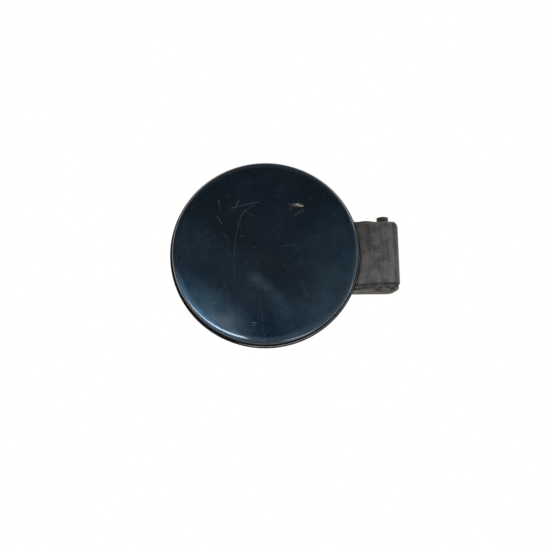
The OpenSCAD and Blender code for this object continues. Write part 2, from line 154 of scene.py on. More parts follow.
# %% Skin sizes
CROWN_R, SHOULDER_R, SHOULDER_A, ROLL_R = 1200.0, 15.0, 21.0, 3.5
SKIN_T, HEM_W, HEM_R = 0.9, 3.5, 0.35
LIP_CUT, FOLD_CUT, FLANGE_RISES = 0.2, 0.3, (1.5, 0.2)
SKIN_SIDES, SEAL_SIDES = 420, 360

crown_mid = CROWN_TOP - CROWN_R
lean = math.radians(SHOULDER_A)
roll_x = LID_R - ROLL_R
shoulder_x = roll_x - (SHOULDER_R - ROLL_R) * math.sin(lean)
shoulder_z = crown_mid + math.sqrt((CROWN_R - SHOULDER_R) ** 2 - shoulder_x**2)
roll_z = shoulder_z + (SHOULDER_R - ROLL_R) * math.cos(lean)
tilt = math.degrees(math.asin(shoulder_x / (CROWN_R - SHOULDER_R)))
print("shoulder from radius", round(shoulder_x * CROWN_R / (CROWN_R - SHOULDER_R), 1), "mm")

# %% [markdown]
# ## The painted skin
# The outline runs from the middle of the dome over the shoulder and the roll, down the flange, round
# the hem, and back inside the sheet to the middle. The inner line is the outer one again, with every
# radius smaller by the sheet's thickness. The hem's lip and fold have their corners cut a little,
# because a pressed edge is never a knife.


# %% Painted skin
def skin_line(inside, dome_count, shoulder_count, roll_count):
    """Dome, shoulder and roll, some way inside the paint. Dome: height = middle + root of
    (R * R - radius * radius). Shoulder and roll: arcs round their centres."""
    dome_r = CROWN_R - inside
    r = np.linspace(0.0, shoulder_x * dome_r / (CROWN_R - SHOULDER_R), dome_count)
    dome = np.stack([r, crown_mid + np.sqrt(dome_r**2 - r**2)], 1)
    shoulder = arc_points((shoulder_x, shoulder_z), SHOULDER_R - inside,
                          90 - tilt, 90 - SHOULDER_A, shoulder_count)
    roll = arc_points((roll_x, roll_z), ROLL_R - inside, 90 - SHOULDER_A, 0, roll_count)
    return np.vstack([dome, shoulder[1:], roll[1:]])


def skin_outline():
    """Outer line, flange, hem, lip of the hem, fold inside the hem, inner line backwards."""
    lip_r, hem_top = LID_R - HEM_W, HEM + SKIN_T
    flange = [[LID_R, HEM + HEM_R + rise] for rise in FLANGE_RISES]
    hem = arc_points((LID_R - HEM_R, HEM + HEM_R), HEM_R, 0, -90, 6)
    lip = [[lip_r + LIP_CUT, HEM], [lip_r, HEM + LIP_CUT],
           [lip_r, hem_top - LIP_CUT], [lip_r + LIP_CUT, hem_top]]
    fold = [[LID_R - SKIN_T - FOLD_CUT, hem_top], [LID_R - SKIN_T, hem_top + FOLD_CUT]]
    return np.vstack([skin_line(0.0, 60, 12, 14), flange, hem, lip, fold,
                      skin_line(SKIN_T, 24, 8, 10)[::-1]])


painted_skin = turned("painted_skin", skin_outline(), SKIN_SIDES)
print("painted skin:", len(painted_skin.data.polygons), "faces")

# %% [markdown]
# ## The edge seal
# A rubber ring sits under the hem: a flat band that the carrier holds, and a round bead that stands out
# past the paint and meets the body panel. From the front it shows as a thin black line round the lid.
# The photograph shows it a little further out and further back than the solid has it, so the bead is
# drawn there, and a neck joins it to the band.

# %% Edge seal
seal_low, seal_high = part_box("edge_seal")
SEAL_R = (seal_high.x - seal_low.x) / 2 / MM
SEAL_TOP = -seal_low.y / MM
BEAD_R, BAND_T, BAND_IN, BAND_CUT = 1.6, 2.8, LID_R - 4.1, 0.3
BEAD_OUT, BEAD_BACK, BEAD_GAP = 0.35, 2.0, 0.5
NECK_FROM, NECK_TO, NECK_ANGLE = 0.6, 0.35, 75


def seal_outline():
    """A flat band, a neck that leads down to the bead, and the bead's circle back to the band."""
    bead = (SEAL_R - BEAD_R + BEAD_OUT, SEAL_TOP - BEAD_GAP - BEAD_R - BEAD_BACK)
    band_low = SEAL_TOP - BAND_T
    meets_band = 180 - math.degrees(math.asin((band_low - bead[1]) / BEAD_R))
    top = [[BAND_IN + BAND_CUT, SEAL_TOP], [LID_R - NECK_FROM, SEAL_TOP],
           [LID_R - NECK_TO, SEAL_TOP - BEAD_GAP]]
    ring = arc_points(bead, BEAD_R, NECK_ANGLE, meets_band - 360, 26)
    under = [[BAND_IN + BAND_CUT, band_low], [BAND_IN, band_low + BAND_CUT],
             [BAND_IN, SEAL_TOP - BAND_CUT]]
    return np.vstack([top, ring, under])


edge_seal = turned("edge_bead_seal", seal_outline(), SEAL_SIDES)
print("edge seal:", len(edge_seal.data.polygons), "faces")

# %% [markdown]
# ## Softened CAD pieces
# Moulded plastic and stamped steel have no knife edges. A copy of the CAD mesh is welded, its flat
# triangles are joined, and a small bevel rounds each edge sharper than 30 degrees, so that edges catch
# a thin line of light as they do on the real part. The bevels get a second material slot for a moment,
# which tells them from the rest. That becomes the attribute edge, and later dust gathers there.


# %% Rounded copies
WELD_DISTANCE, FLAT_ANGLE, SHARP_ANGLE = 2e-7, 0.4, 30


def welded_copy(node, name):
    """A copy of a CAD mesh with its doubles merged and its flat triangles joined, and two slots."""
    mesh = NODES[node].data.copy()
    mesh.name = name
    mesh.materials.clear()
    mesh.materials.append(None)
    mesh.materials.append(None)
    bm = bmesh.new()
    bm.from_mesh(mesh)
    bmesh.ops.remove_doubles(bm, verts=bm.verts, dist=WELD_DISTANCE)
    bmesh.ops.dissolve_limit(bm, angle_limit=math.radians(FLAT_ANGLE), verts=bm.verts, edges=bm.edges)
    for face in bm.faces:
        face.smooth = True
    bm.to_mesh(mesh)
    bm.free()
    copy = bpy.data.objects.new(name, mesh)
    bpy.context.scene.collection.objects.link(copy)
    return copy


def mark_edges(mesh):
    """The attribute edge is 1 at the corners of faces in the second slot and 0 at all others."""
    slots = np.empty(len(mesh.polygons), np.int32)
    mesh.polygons.foreach_get("material_index", slots)
    counts = np.empty(len(mesh.polygons), np.int32)
    mesh.polygons.foreach_get("loop_total", counts)
    edge = mesh.attributes.new("edge", "FLOAT", "CORNER")
    edge.data.foreach_set("value", np.repeat((slots == 1).astype(np.float32), counts))
    mesh.polygons.foreach_set("material_index", np.zeros(len(slots), np.int32))


def softened(node, name, width_mm, segments):
    """A welded copy of a CAD node with its sharp edges bevelled by width_mm."""
    copy = welded_copy(node, name)
    bevel = copy.modifiers.new("edges", "BEVEL")
    bevel.width = width_mm * MM
    bevel.segments = segments
    bevel.limit_method = "ANGLE"
    bevel.angle_limit = math.radians(SHARP_ANGLE)
    bevel.harden_normals = True
    bevel.use_clamp_overlap = True
    bevel.miter_outer = "MITER_ARC"
    bevel.material = 1
    depsgraph = bpy.context.evaluated_depsgraph_get()
    final = bpy.data.meshes.new_from_object(copy.evaluated_get(depsgraph))
    mark_edges(final)
    copy.modifiers.clear()
    copy.data = final
    print(name, "from", node, len(final.polygons), "faces")
    return copy


swan_neck_arm = softened("hinge_arm", "swan_neck_arm", 0.6, 3)
axle_pin = softened("hinge_pin", "axle_pin", 0.5, 3)
bolt_striker = softened("latch_striker", "bolt_striker", 0.3, 2)
cap_cup = softened("cap_holder", "cap_cup", 0.4, 2)

# %% [markdown]
# ## The path of the closing spring
# The spring is a round wire: a short leg in the pin's cross hole, six turns and a bit, then a straight
# leg to the pad of the arm, which lies along the arm's slope. Its axis is the pin's, and its sizes are
# those of the solid, which is made of facets too coarse for a close look.

# %% Spring path
spring_low, spring_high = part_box("torsion_spring")
spring_mid_z = (spring_low.z + spring_high.z) / 2 / MM
WIRE_R, COIL_R, COIL_TURNS, PITCH, LEG = 0.7, 6.2, 6, 1.65, 17.0
PIN_LEG = ((3.25, 0.0), (5.4, 0.0), (5.95, 0.08))
SLOPE_RUN, SLOPE_DROP = 21.0, 7.0
TURN_STEPS, LEG_STEPS, WIRE_SIDES = 48, 10, 14
slope = math.degrees(math.atan2(SLOPE_DROP, SLOPE_RUN))
half_coil = PITCH * (COIL_TURNS + (90 + slope) / 360) / 2


def wire_path():
    """Leg in the pin, helix radius * (cos, sin) with a steady rise, straight leg along the tangent."""
    turn = math.radians(360 * COIL_TURNS + 90 + slope)
    t = np.linspace(0, 1, COIL_TURNS * TURN_STEPS + 1)
    coil = np.stack([COIL_R * np.cos(turn * t), COIL_R * np.sin(turn * t),
                     -half_coil + 2 * half_coil * t], 1)
    a = math.radians(slope)
    away = np.array([-math.cos(a), -math.sin(a), 0.0])
    leg = coil[-1] + np.linspace(1.0, LEG, LEG_STEPS)[:, None] * away
    first = np.array([[x, y, -half_coil] for x, y in PIN_LEG])
    return np.vstack([first, coil[1:], leg])


spring_path = wire_path()
print("spring path:", len(spring_path), "points, middle at", round(spring_mid_z, 2), "mm")

# %% [markdown]
# ## The wire round its path
# At each point of the path a small circle stands square to it. Joined up, the circles are the wire, and
# a fan of triangles closes each end. A curve object with a bevel would do too, but a mesh can wind
# between two bodies as the lid opens.


# %% Spring wire
def swept_wire(name, path, radius, count):
    """Section points = path + radius * (cos * side + sin * up), side square to the path and to Z."""
    along = np.gradient(path, axis=0)
    along /= np.linalg.norm(along, axis=1)[:, None]
    side = np.cross(along, [0.0, 0.0, 1.0])
    side /= np.linalg.norm(side, axis=1)[:, None]
    up = np.cross(side, along)
    a = np.linspace(0, 2 * np.pi, count, endpoint=False)
    ring = path[:, None] + radius * (np.cos(a)[None, :, None] * side[:, None]
                                     + np.sin(a)[None, :, None] * up[:, None])
    local = np.vstack([ring.reshape(-1, 3), path[0], path[-1]])
    rows = len(path)
    faces = grid_faces(rows, count, False, True)
    first, last = rows * count, rows * count + 1
    faces += [[first, (k + 1) % count, k] for k in range(count)]
    faces += [[last, (rows - 1) * count + k, (rows - 1) * count + (k + 1) % count] for k in range(count)]
    points = np.stack([local[:, 0], -local[:, 1], local[:, 2] + spring_mid_z], 1) * MM
    return outward(mesh_object(name, points, faces))


closing_spring = swept_wire("closing_spring", spring_path, WIRE_R, WIRE_SIDES)
print("spring:", len(closing_spring.data.polygons), "faces")

# %% [markdown]
# ## Shader nodes from code
# Wear is drawn from the place on the piece, with nodes that add, multiply, measure and mix. Each helper
# places one node and gives back what it puts out, so that a pattern reads like a sum. A value may be a
# plain number or the output of another node.


# %% Node helpers
def feed(tree, socket, value):
    """Links an output to the socket, or writes a plain value into it."""
    if isinstance(value, bpy.types.NodeSocket):
        tree.links.new(value, socket)
    else:
        socket.default_value = value


def maths(tree, operation, *values, clamp=False):
    """A Math node, such as value 1 + value 2."""
    node = tree.nodes.new("ShaderNodeMath")
    node.operation = operation
    node.use_clamp = clamp
    for socket, value in zip(node.inputs, values):
        feed(tree, socket, value)
    return node.outputs[0]


def product(tree, *factors):
    """Factor 1 * factor 2 * factor 3, and so on."""
    whole = factors[0]
    for factor in factors[1:]:
        whole = maths(tree, "MULTIPLY", whole, factor)
    return whole


def largest(tree, masks):
    """The largest of several masks, which lays one over another without adding them up."""
    whole = masks[0]
    for mask in masks[1:]:
        whole = maths(tree, "MAXIMUM", whole, mask)
    return whole


def vector_maths(tree, operation, a, b=None, scale=None):
    """A Vector Math node. A dot product and a length come out as a number."""
    node = tree.nodes.new("ShaderNodeVectorMath")
    node.operation = operation
    feed(tree, node.inputs[0], a)
    if b is not None:
        feed(tree, node.inputs[1], b)
    if scale is not None:
        feed(tree, node.inputs["Scale"], scale)
    return node.outputs["Value" if operation in ("DOT_PRODUCT", "LENGTH") else "Vector"]


def split_axes(tree, vector):
    """The three numbers of a vector, by the names X, Y and Z."""
    node = tree.nodes.new("ShaderNodeSeparateXYZ")
    feed(tree, node.inputs[0], vector)
    return node.outputs


# %% [markdown]
# ## Noise, steps and mixtures
# Noise makes the patches and the grain of dust. A smooth step turns a slow change into a mask with an
# edge as soft as wanted. A mixture lays one colour over another where the mask is high.


# %% Pattern helpers
def noise(tree, vector, scale, detail=3.0, rough=0.5, stretch=None, turn=0.0, colour=False):
    """Noise on a vector. stretch multiplies the scale along X, Y and Z, turned about Y by turn."""
    if stretch is not None:
        mapping = tree.nodes.new("ShaderNodeMapping")
        mapping.vector_type = "TEXTURE"
        mapping.inputs["Scale"].default_value = [1.0 / part for part in stretch]
        mapping.inputs["Rotation"].default_value = (0, turn, 0)
        feed(tree, mapping.inputs["Vector"], vector)
        vector = mapping.outputs[0]
    node = tree.nodes.new("ShaderNodeTexNoise")
    for label, value in (("Vector", vector), ("Scale", scale), ("Detail", detail), ("Roughness", rough)):
        feed(tree, node.inputs[label], value)
    return node.outputs[1 if colour else 0]


def ramp(tree, value, low, high, to_low=0.0, to_high=1.0):
    """A smooth step: to_low at low, to_high at high, and 3 t * t - 2 t * t * t between them."""
    node = tree.nodes.new("ShaderNodeMapRange")
    node.interpolation_type = "SMOOTHSTEP"
    for label, number in (("Value", value), ("From Min", low), ("From Max", high),
                          ("To Min", to_low), ("To Max", to_high)):
        feed(tree, node.inputs[label], number)
    return node.outputs[0]


def mix_colour(tree, factor, a, b):
    """Colour a where the factor is 0 and colour b where it is 1."""
    node = tree.nodes.new("ShaderNodeMix")
    node.data_type = "RGBA"
    for index, value in ((0, factor), (6, a), (7, b)):
        feed(tree, node.inputs[index], value)
    return node.outputs[2]


# %% [markdown]
# ## Shader groups
# A pattern that is used many times, or by several materials, is a node group with named inputs: it is
# built once and placed with other values each time. A tuple as default makes a vector socket, and a
# number makes a number socket. Every group here puts out one number over the surface.


# %% Group helpers
def new_group(name, output, **inputs):
    """An empty shader group. Returns the group, its inputs inside, and the socket for its result."""
    group = bpy.data.node_groups.new(name, "ShaderNodeTree")
    for label, default in inputs.items():
        kind = "NodeSocketVector" if isinstance(default, tuple) else "NodeSocketFloat"
        group.interface.new_socket(label, in_out="INPUT", socket_type=kind).default_value = default
    group.interface.new_socket(output, in_out="OUTPUT", socket_type="NodeSocketFloat")
    source = group.nodes.new("NodeGroupInput")
    target = group.nodes.new("NodeGroupOutput")
    return group, list(source.outputs)[:len(inputs)], target.inputs[0]


def use_group(tree, group, **values):
    """Places a group in a material; each value is a number, a tuple or a socket."""
    node = tree.nodes.new("ShaderNodeGroup")
    node.node_tree = group
    for label, value in values.items():
        feed(tree, node.inputs[label], value)
    return node.outputs[0]


# %% [markdown]
# ## Scratch and veil
# A scratch is thin and sharp, and a veil of haze is broad and soft, but both lie along a line from one
# point to another. So both are the distance to that line. A scratch stays full up to a third of its
# width, and a veil fades from its middle.

# %% Line groups
ORIGIN, UNIT = (0, 0, 0), (1, 1, 1)


def make_line_group(name, core):
    """Mask = Strength within core of the Width round the line, fading to 0 at the Width. The nearest
    point of the line is Start + share * (End - Start), with share = dot(Place - Start, End - Start)
    / dot(End - Start, End - Start), kept in 0 to 1."""
    tree, (place, start, end, width, strength), result = new_group(
        name, "Mask", Place=ORIGIN, Start=ORIGIN, End=(1, 0, 0), Width=0.3, Strength=1.0)
    from_start = vector_maths(tree, "SUBTRACT", place, start)
    whole = vector_maths(tree, "SUBTRACT", end, start)
    top = vector_maths(tree, "DOT_PRODUCT", from_start, whole)
    bottom = vector_maths(tree, "DOT_PRODUCT", whole, whole)
    share = maths(tree, "DIVIDE", top, bottom, clamp=True)
    near = vector_maths(tree, "SCALE", whole, scale=share)
    distance = vector_maths(tree, "LENGTH", vector_maths(tree, "SUBTRACT", from_start, near))
    mask = ramp(tree, maths(tree, "DIVIDE", distance, width), core, 1.0, 1.0, 0.0)
    feed(tree, result, product(tree, mask, strength))
    return tree


scratch_group = make_line_group("scratch line", 0.35)
veil_group = make_line_group("soft veil", 0.0)
print("groups:", scratch_group.name, "and", veil_group.name)

# %% [markdown]
# ## Worn patch
# A chip in paint is a ragged spot. An ellipse gives its place and size, and noise added to the distance
# from its middle bends the edge in and out, more where Ragged is higher.


# %% Patch group
def make_patch_group():
    """Mask = 1 inside an ellipse with a ragged edge: length of (Place - Centre) / Size plus noise."""
    tree, (place, centre, size, ragged, soft, grain), result = new_group(
        "worn patch", "Mask", Place=ORIGIN, Centre=ORIGIN, Size=UNIT, Ragged=0.5, Soft=0.1, Grain=1.0)
    away = vector_maths(tree, "SUBTRACT", place, centre)
    distance = vector_maths(tree, "LENGTH", vector_maths(tree, "DIVIDE", away, size))
    uneven = maths(tree, "SUBTRACT", noise(tree, place, grain, 4.0), 0.5)
    edge = maths(tree, "ADD", distance, product(tree, uneven, ragged))
    low = maths(tree, "SUBTRACT", 1.0, soft)
    span = maths(tree, "DIVIDE", maths(tree, "SUBTRACT", edge, low), soft, clamp=True)
    feed(tree, result, maths(tree, "SUBTRACT", 1.0, span))
    return tree


patch_group = make_patch_group()
print("group:", patch_group.name)

# %% [markdown]
# ## Dust, dusty edges and grain
# Dust lies in wide patches and is grainy inside them, so its group multiplies slow noise by fine noise.
# It also gathers on the rounded edges, but never evenly. The grain of moulded plastic and cast steel is
# too fine to model, so it is a height for a Bump node.


# %% Dust groups
def make_dust_group():
    """Mask = slow noise that says where dust lies, times fine grain, times Amount."""
    tree, (place, spread, grain, amount), result = new_group(
        "dust film", "Mask", Place=ORIGIN, Spread=60.0, Grain=900.0, Amount=0.5)
    wide = ramp(tree, noise(tree, place, spread, 5.0), 0.35, 0.7)
    small = ramp(tree, noise(tree, place, grain, 2.0), 0.3, 0.75, 0.45, 1.0)
    feed(tree, result, maths(tree, "MULTIPLY", product(tree, wide, small), amount, clamp=True))
    return tree


def make_edge_group():
    """Mask = the edge attribute times slow noise, times Amount."""
    tree, (place, edge, amount), result = new_group(
        "dusty edge", "Mask", Place=ORIGIN, Edge=0.0, Amount=0.5)
    patchy = ramp(tree, noise(tree, place, 140.0, 3.0, 0.6), 0.3, 0.62, 0.35, 1.0)
    feed(tree, result, product(tree, edge, product(tree, patchy, amount)))
    return tree


def make_grain_group():
    """Height = fine noise."""
    tree, (place, scale), result = new_group("surface grain", "Height", Place=ORIGIN, Scale=900.0)
    feed(tree, result, noise(tree, place, scale, 2.0))
    return tree


dust_group, edge_group, grain_group = make_dust_group(), make_edge_group(), make_grain_group()
print("groups:", dust_group.name, "and", edge_group.name, "and", grain_group.name)

# %% [markdown]
# ## Tinted bands
# Sun and rain reach some parts of the arm and not others, and a neighbour keeps dust off or rubs it
# on. Other bands on the arm are painted light beside the lid and near its end, and painted shade in
# the crease along its lower edge. Such a stretch is a band along one way: it comes in from Start to
# Full and goes out from Stop to End, and noise wears holes into it.


# %% Band group
def make_band_group():
    """Mask = step up from Start to Full, times step down from Stop to End, times worn noise, times
    Strength."""
    tree, (place, along, start, full, stop, end, strength), result = new_group(
        "tinted band", "Mask", Place=ORIGIN, Along=0.0, Start=0.0, Full=0.1, Stop=0.9, End=1.0,
        Strength=1.0)
    band = product(tree, ramp(tree, along, start, full), ramp(tree, along, stop, end, 1.0, 0.0))
    worn = ramp(tree, noise(tree, place, 160.0, 4.0, 0.65), 0.3, 0.62, 0.5, 1.0)
    feed(tree, result, product(tree, band, worn, strength))
    return tree


band_group = make_band_group()
print("group:", band_group.name)

# %% [markdown]
# ## A material and its place
# Every material here is one Principled shader that reads Object coordinates. They stay with the piece
# when it turns, so no mark slides. A height goes through a Bump node into the shader's normal.


# %% Material helpers
def new_material(name):
    """A new material. Returns it, its tree, its Principled shader and the Object coordinates."""
    material = bpy.data.materials.new(name)
    material.use_nodes = True
    tree = material.node_tree
    coordinates = tree.nodes.new("ShaderNodeTexCoord")
    return material, tree, tree.nodes["Principled BSDF"], coordinates.outputs["Object"]


def bump(tree, shader, height, distance):
    """Feeds a height through a Bump node of strength a half into the shader's normal."""
    node = tree.nodes.new("ShaderNodeBump")
    node.inputs["Strength"].default_value = 0.5
    node.inputs["Distance"].default_value = distance
    feed(tree, node.inputs["Height"], height)
    feed(tree, shader.inputs["Normal"], node.outputs[0])


# %% [markdown]
# ## Marks, painted sheen and painted shade on the paint
# The paint has the marks of long use. Their places are in millimetres from the lid's middle, x to the
# hinge and z up. A stroke has two ends, a width and a strength: fine scratches, broad veils of haze,
# painted shade, darker from the upper left past the middle, and painted sheen, lighter at the right and
# at the lower left where the metal scatters light. A dot has a middle, a size and a strength.

# %% Marks
SCRATCHES = [
    ((-41.2, 46.0), (-40.4, 42.5), 0.34, 0.66),
    ((-40.4, 42.5), (-39.6, 37.0), 0.45, 0.26),
    ((-30.1, 38.8), (-6.1, 44.1), 0.30, 0.50),
    ((-23.0, 45.8), (-26.4, 40.2), 0.34, 0.54),
    ((-26.4, 40.2), (-28.4, 34.6), 0.45, 0.19),
    ((-9.2, 42.3), (-16.5, 36.6), 0.32, 0.36),
    ((-16.5, 36.6), (-21.3, 31.3), 0.30, 0.46),
    ((-21.3, 31.3), (-25.7, 12.9), 0.30, 0.38),
    ((-25.7, 12.9), (-27.4, -2.5), 0.34, 0.28),
    ((-27.4, -2.5), (-27.0, -31.9), 0.30, 0.12),
    ((-42.6, 31.6), (-38.5, 24.6), 0.55, 0.34),
    ((-36.7, 15.8), (-32.8, 10.3), 0.7, 0.19),
    ((-32.3, 9.4), (-31.9, -1.5), 0.5, 0.07),
    ((-32.5, -1.2), (-29.5, -6.0), 1.4, 0.07),
    ((-21.6, 12.6), (-18.8, 12.6), 0.30, 0.48),
    ((14.0, 3.2), (25.3, 5.1), 0.40, 0.17),
    ((-5.5, -43.6), (-1.1, -80.0), 0.28, 0.22),
    ((-11.5, -64.2), (-8.5, -64.6), 0.40, 0.60),
    ((-12.0, -66.4), (-9.5, -66.6), 0.35, 0.42),
    ((-47.0, -47.0), (-41.0, -45.0), 0.30, 0.30),
]
VEILS = [
    ((-9.7, -25.1), (2.0, -33.5), 8.5, 0.11),
    ((2.0, -33.5), (11.0, -43.0), 9.0, 0.075),
    ((11.0, -43.0), (19.1, -54.7), 10.0, 0.045),
    ((30.6, -27.9), (35.9, -39.6), 3.5, 0.05),
    ((-45.8, -43.0), (-15.6, -72.1), 15.0, 0.05),
]
# Painted shade: strokes of deeper blue from the upper left past the middle.
PAINTED_SHADES = [
    ((-45.0, 40.0), (-18.0, -8.0), 30.0, 0.32),
    ((-18.0, -8.0), (28.0, -26.0), 24.0, 0.32),
]
# Painted sheen: strokes of lighter blue where the metallic paint would scatter lamp light.
PAINTED_SHEENS = [
    ((88.0, 5.0), (60.0, -62.0), 62.0, 0.28),
    ((-72.0, -37.0), (-37.0, -68.0), 28.0, 0.42),
    ((-60.0, 10.0), (-25.0, -12.0), 26.0, 0.06),
    ((11.0, -48.0), (24.0, -77.0), 14.0, 0.20),
]
DOTS = [
    ((24.4, 21.6), 0.55, 0.45), ((12.4, 10.2), 0.50, 0.50), ((-10.4, 2.4), 0.45, 0.55),
    ((-60.2, 13.6), 0.50, 0.45), ((-32.8, -48.5), 0.50, 0.6), ((-34.5, -36.2), 0.45, 0.45),
    ((22.7, 38.0), 0.60, 0.7), ((21.9, 42.4), 1.1, 0.35), ((33.4, 35.9), 1.0, 0.45),
    ((30.4, 34.3), 0.9, 0.4), ((27.3, 31.9), 0.9, 0.4), ((29.0, 33.0), 0.6, 0.4),
]
print(len(SCRATCHES), "scratches,", len(VEILS), "veils,", len(DOTS), "dots")

# %% [markdown]
# ## Lines and haze on the paint
# The coordinates are first brought to the lid's middle and to millimetres. Slow noise bends them a
# little, because no real scratch is straight, and breaks the scratches up. The haze is made of the
# veils, a thin film of dust, hairlines from wiping in three ways, and specks.


# %% Lines and haze
def lid_places(tree, place):
    """Flat = (place - middle of the lid) in millimetres, with no depth. Bent = flat moved by up to a
    millimetre."""
    mapping = tree.nodes.new("ShaderNodeMapping")
    mapping.inputs["Location"].default_value = (-LID_MID[0] / MM, 0, -LID_MID[2] / MM)
    mapping.inputs["Scale"].default_value = (1 / MM, 0, 1 / MM)
    feed(tree, mapping.inputs["Vector"], place)
    flat = mapping.outputs[0]
    shift = vector_maths(tree, "SUBTRACT", noise(tree, flat, 0.22, 2.0, colour=True), (0.5, 0.5, 0.5))
    return flat, vector_maths(tree, "ADD", flat, vector_maths(tree, "MULTIPLY", shift, (1.8, 0, 1.8)))


def strokes(tree, group, place, rows):
    """The largest mask of a list of strokes."""
    return largest(tree, [
        use_group(tree, group, Place=place, Start=(a[0], 0, a[1]), End=(b[0], 0, b[1]),
                  Width=width, Strength=strength) for a, b, width, strength in rows])


def scratches(tree, flat, bent):
    """Scratches, broken up by noise."""
    broken = ramp(tree, noise(tree, flat, 0.9, 3.0, 0.6), 0.36, 0.56, 0.35, 1.0)
    return product(tree, strokes(tree, scratch_group, bent, SCRATCHES), broken)


def haze(tree, flat, bent):
    """Veils times slow noise, plus a film of dust, plus hairlines in patches, plus specks."""
    smear = ramp(tree, noise(tree, flat, 0.16, 5.0, 0.55), 0.25, 0.7, 0.5, 1.0)
    veil = product(tree, strokes(tree, veil_group, bent, VEILS), smear)
    film = use_group(tree, dust_group, Place=flat, Spread=0.035, Grain=0.8, Amount=0.035)
    hairs = largest(tree, [
        ramp(tree, noise(tree, flat, 1.0, 1.0, 0.5, (0.07, 1.0, 1.3), turn), 0.6, 0.7)
        for turn in (0.35, 1.15, 2.2)])
    patches = ramp(tree, noise(tree, flat, 0.05, 3.0, 0.6), 0.42, 0.62)
    hairs = product(tree, hairs, product(tree, patches, 0.07))
    specks = ramp(tree, noise(tree, flat, 0.62, 1.0), 0.68, 0.76, 0.0, 0.10)
    return maths(tree, "ADD", maths(tree, "ADD", veil, film), maths(tree, "ADD", hairs, specks))


# %% [markdown]
# ## The chip, the dots and the painted highlight on the rim
# Something hard hit the upper right of the lid. Round the spot the paint is scuffed, inside it is dark,
# then brown, and the palest part is primer. A pale line along the roll at the right is a painted
# highlight, the glint on the rim's edge, drawn as bare grey paint. Each is a mask of its own, so that
# each can have its own colour.


# %% Chip, dots and rim
def spot(tree, flat, centre, size, ragged, soft, grain):
    """One worn patch, given by its middle and its two half widths."""
    return use_group(tree, patch_group, Place=flat, Centre=(centre[0], 0, centre[1]),
                     Size=(size[0], 1, size[1]), Ragged=ragged, Soft=soft, Grain=grain)


def chip(tree, flat):
    """Masks of the chip: dark ground, brown ground, grey scuffs round them, and pale primer."""
    dark = spot(tree, flat, (31.0, 38.4), (5.0, 2.4), 1.6, 0.3, 0.7)
    brown = spot(tree, flat, (28.2, 41.2), (5.4, 2.0), 3.2, 0.7, 1.0)
    scuff = product(tree, spot(tree, flat, (28.2, 36.4), (8.5, 7.5), 1.0, 0.7, 0.4),
                    ramp(tree, noise(tree, flat, 0.7, 2.0), 0.52, 0.68, 0.0, 0.5))
    tail = spot(tree, flat, (32.2, 40.3), (2.8, 0.9), 1.0, 0.4, 1.3)
    primer = spot(tree, flat, (29.2, 41.6), (2.2, 1.0), 1.2, 0.4, 1.1)
    return dark, brown, scuff, tail, primer


def small_dots(tree, flat):
    """The largest mask of all dots."""
    return largest(tree, [
        product(tree, strength, spot(tree, flat, middle, (size, size), 0.9, 0.4, 1.6))
        for middle, size, strength in DOTS])


def painted_rim_highlight(tree, flat, place):
    """A painted highlight on the rim's edge: outside a radius of 82 mm, times the right side only, times
    the front of the flange.
    """
    outside = ramp(tree, vector_maths(tree, "LENGTH", flat), 82.0, 82.4)
    axes = split_axes(tree, place)
    return product(tree, outside, ramp(tree, axes["X"], -0.062, -0.034, 0.0, 0.5),
                   ramp(tree, axes["Y"], -0.0205, -0.0198, 1.0, 0.0))


# %% [markdown]
# ## The paint
# The finish is a dark petrol-blue metallic under a clear coat. Grain between two blues gives the flake.
# Slow strokes paint shade and sheen into its colour, and the marks go on top, one after the other. Bare
# spots lose both the metal and the coat, and so does the painted highlight on the rim. Haze makes the
# paint rougher.

# %% Paint
FLAKE_DARK, FLAKE_LIGHT = (0.0017, 0.0100, 0.0196, 1), (0.0108, 0.0350, 0.0600, 1)
# Colours of the painted sheen and of the painted shade.
PAINTED_SHEEN_BLUE, PAINTED_SHADE_BLUE = (0.045, 0.138, 0.222, 1), (0.001, 0.004, 0.008, 1)
HAZE_GREY, LINE_GREY, DOT_GREY = (0.30, 0.42, 0.50, 1), (0.22, 0.27, 0.30, 1), (0.16, 0.19, 0.21, 1)
# The rim's grey is the colour of a painted highlight along its right edge.
SCUFF_GREY, RIM_HIGHLIGHT_GREY = (0.12, 0.14, 0.17, 1), (0.40, 0.45, 0.46, 1)
CHIP_DARK, CHIP_BROWN, PRIMER = (0.004, 0.006, 0.008, 1), (0.15, 0.125, 0.095, 1), (0.33, 0.30, 0.255, 1)


def flake_and_painted_light(tree, flat, grain):
    """Dark to light blue by the grain, then towards the painted sheen and then towards the painted shade.
    """
    base = mix_colour(tree, ramp(tree, grain, 0.3, 0.7), FLAKE_DARK, FLAKE_LIGHT)
    clouds = ramp(tree, noise(tree, flat, 0.07, 4.0, 0.6), 0.3, 0.66, 0.55, 1.25)
    for rows, tint in ((PAINTED_SHEENS, PAINTED_SHEEN_BLUE), (PAINTED_SHADES, PAINTED_SHADE_BLUE)):
        part = product(tree, strokes(tree, veil_group, flat, rows), clouds)
        base = mix_colour(tree, part, base, tint)
    return base


